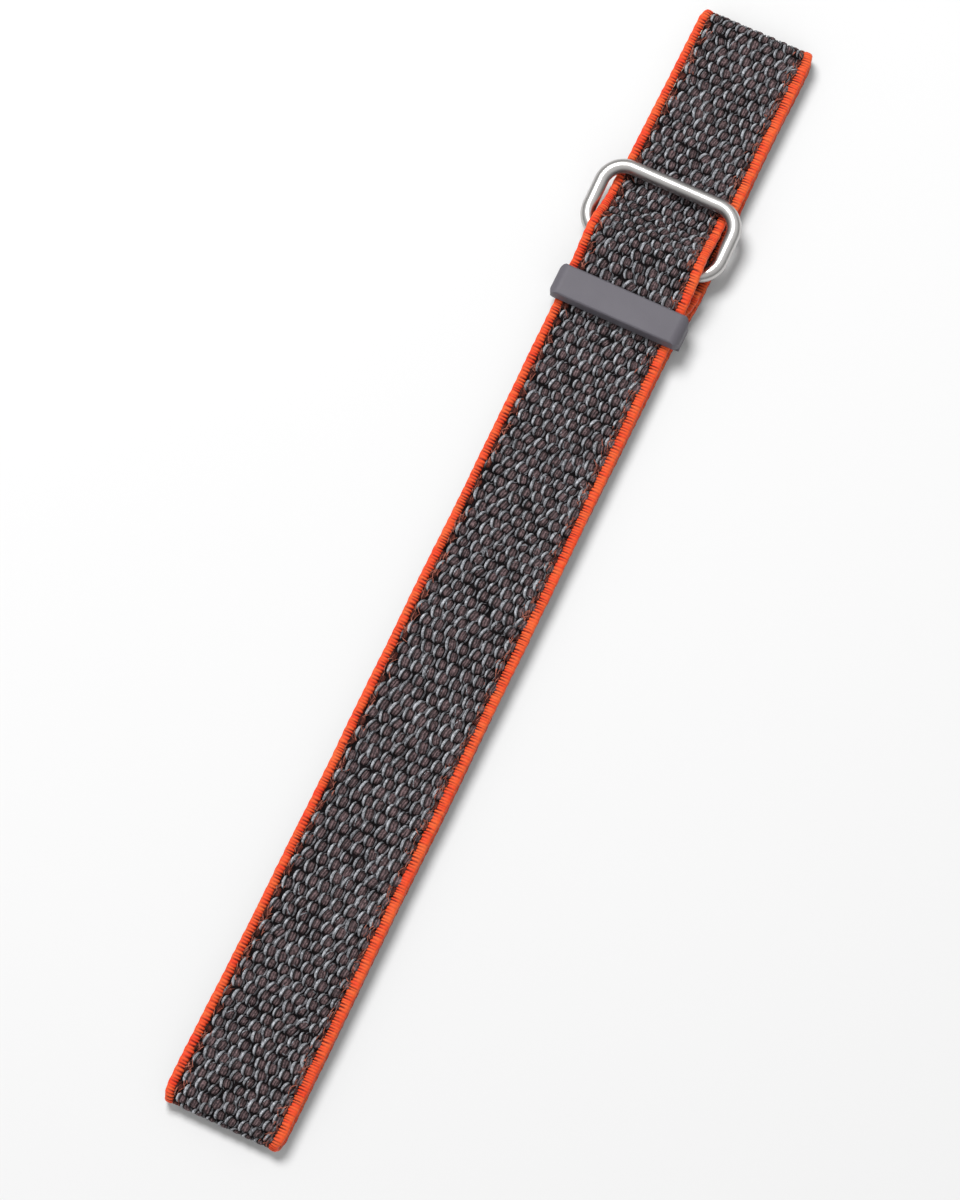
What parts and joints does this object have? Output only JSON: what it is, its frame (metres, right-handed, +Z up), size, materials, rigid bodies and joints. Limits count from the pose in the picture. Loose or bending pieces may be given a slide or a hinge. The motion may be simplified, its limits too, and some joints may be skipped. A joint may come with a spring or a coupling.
{
  "type": "upper arm tracker band",
  "caption": "Knitted elastic upper-arm strap laid flat as a loop, with bright selvedges, a steel slide ring sewn on at one end and a moulded keeper that carries the tail.",
  "frame": {"origin": "centre of the flat loop's length, middle of the strap's width, on the surface it lies on", "axes": "+X along the strap from the long run towards the ring, +Y across the strap, +Z up from the surface"},
  "size_m": [0.2, 0.0255, 0.0083],
  "materials": {
    "knit": "knitted, matt",
    "selvedge": "satin yarn",
    "rubber": "matt",
    "steel": "satin",
    "keeper": "fine matt"
  },
  "bodies": {
    "band": {"band_knit": "knit", "band_edge_left": "selvedge", "band_edge_right": "selvedge", "band_elastic": "rubber", "bar_tack": "selvedge"},
    "ring": {"slide_ring": "steel"},
    "keeper": {"keeper_cover": "keeper", "keeper_base": "keeper", "tail_clamp": "steel", "tail_knit": "knit", "tail_edge_left": "selvedge", "tail_edge_right": "selvedge", "tail_elastic": "rubber"}
  },
  "joints": [
    {"name": "ring_swing", "type": "hinge", "parent": "band", "child": "ring", "pos_m": [0.0562, 0, 0.00415], "axis": [0, -1, 0], "range_deg": [0, 120]},
    {"name": "keeper_slide", "type": "slide", "parent": "band", "child": "keeper", "axis": [1, 0, 0], "range_m": [-0.1, 0.0006], "deforming": ["tail_knit", "tail_edge_left", "tail_edge_right", "tail_elastic"]}
  ]
}
